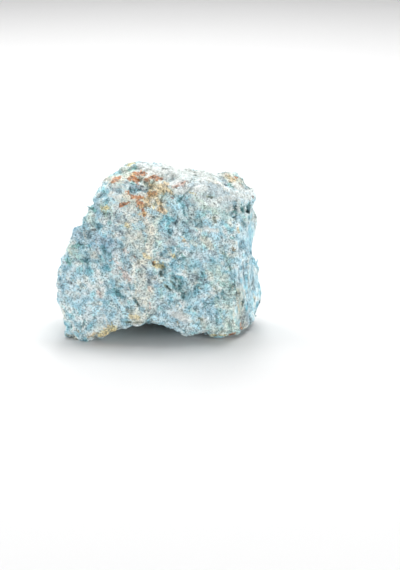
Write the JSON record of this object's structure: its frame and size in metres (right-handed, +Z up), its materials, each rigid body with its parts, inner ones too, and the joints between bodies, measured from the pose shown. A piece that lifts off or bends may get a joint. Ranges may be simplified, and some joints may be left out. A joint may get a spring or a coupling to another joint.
{
  "type": "raw apatite stone",
  "caption": "Rough broken lump of granular blue apatite with a rust-stained upper corner, a pale seam and upright bladed crystals down one side; it stands on its own uneven base.",
  "frame": {"origin": "on the ground plane, below the middle of the lump's bounding box as it rests", "axes": "+X along the broad front face towards the bladed side, +Y from the broad front face towards the back, +Z up"},
  "size_m": [0.05, 0.031, 0.042],
  "materials": {
    "blue_apatite": "rough granular crystal surface, dull with small glinting facets"
  },
  "bodies": {
    "root": {"apatite_rock": "blue_apatite"}
  },
  "joints": []
}
